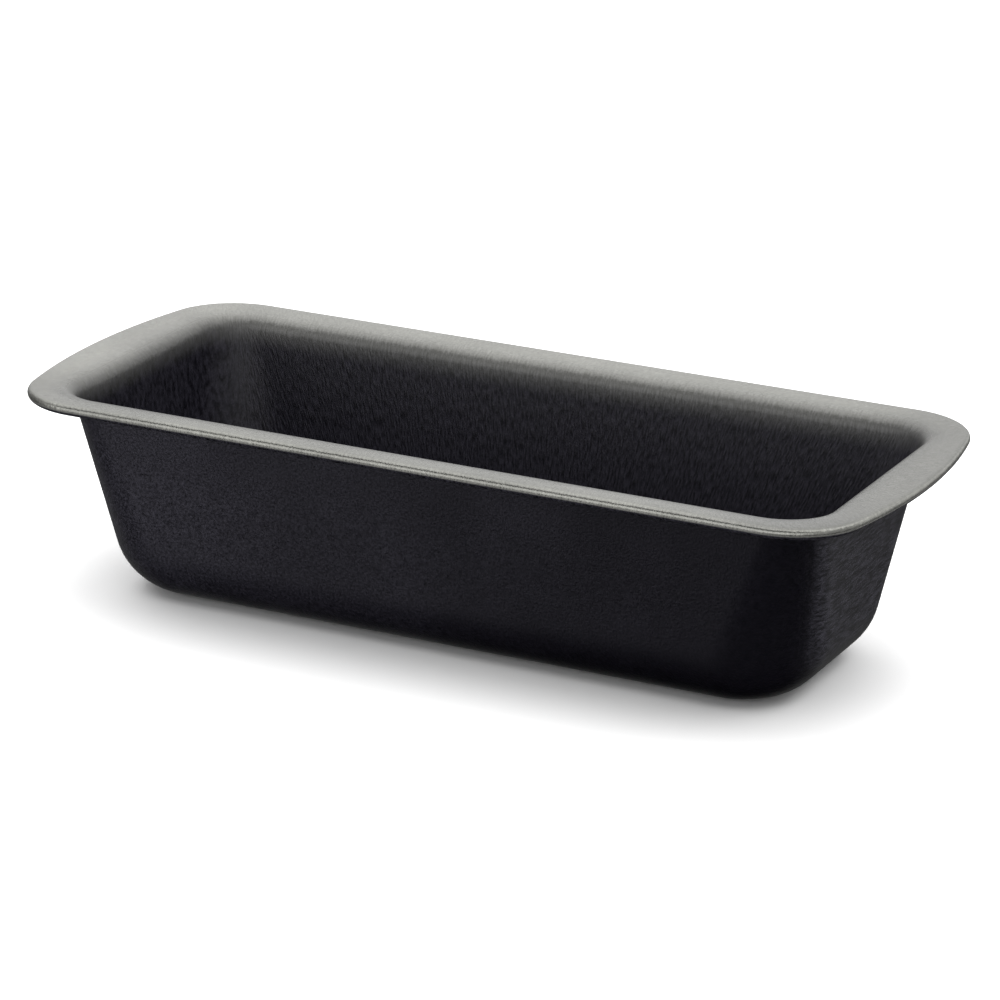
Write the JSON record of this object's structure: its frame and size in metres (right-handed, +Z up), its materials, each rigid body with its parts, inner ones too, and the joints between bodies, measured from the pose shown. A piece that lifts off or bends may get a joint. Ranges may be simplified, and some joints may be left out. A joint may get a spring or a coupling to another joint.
{
  "type": "loaf pan",
  "caption": "Oblong loaf pan drawn from coated sheet steel, with a deep tapering tub, a wide flange bowed at both ends and a rolled edge.",
  "frame": {"origin": "under the middle of the base, on the surface that the pan stands on", "axes": "+X along the pan's length, +Y across its width, +Z up through the open mouth"},
  "size_m": [0.31, 0.144, 0.075],
  "materials": {
    "sheet_steel": "bare cold-rolled sheet, hidden under the coatings",
    "release_coat": "near-black satin non-stick with a fine orange-peel grain, catching a silver-grey sheen on the flange",
    "outside_coat": "near-black satin with faint mottling",
    "rim_wire_steel": "drawn wire, hidden in the rolled edge"
  },
  "bodies": {
    "pan": {"pan_shell": "sheet_steel", "release_coating": "release_coat", "outside_coating": "outside_coat", "rim_wire": "rim_wire_steel"}
  },
  "joints": []
}
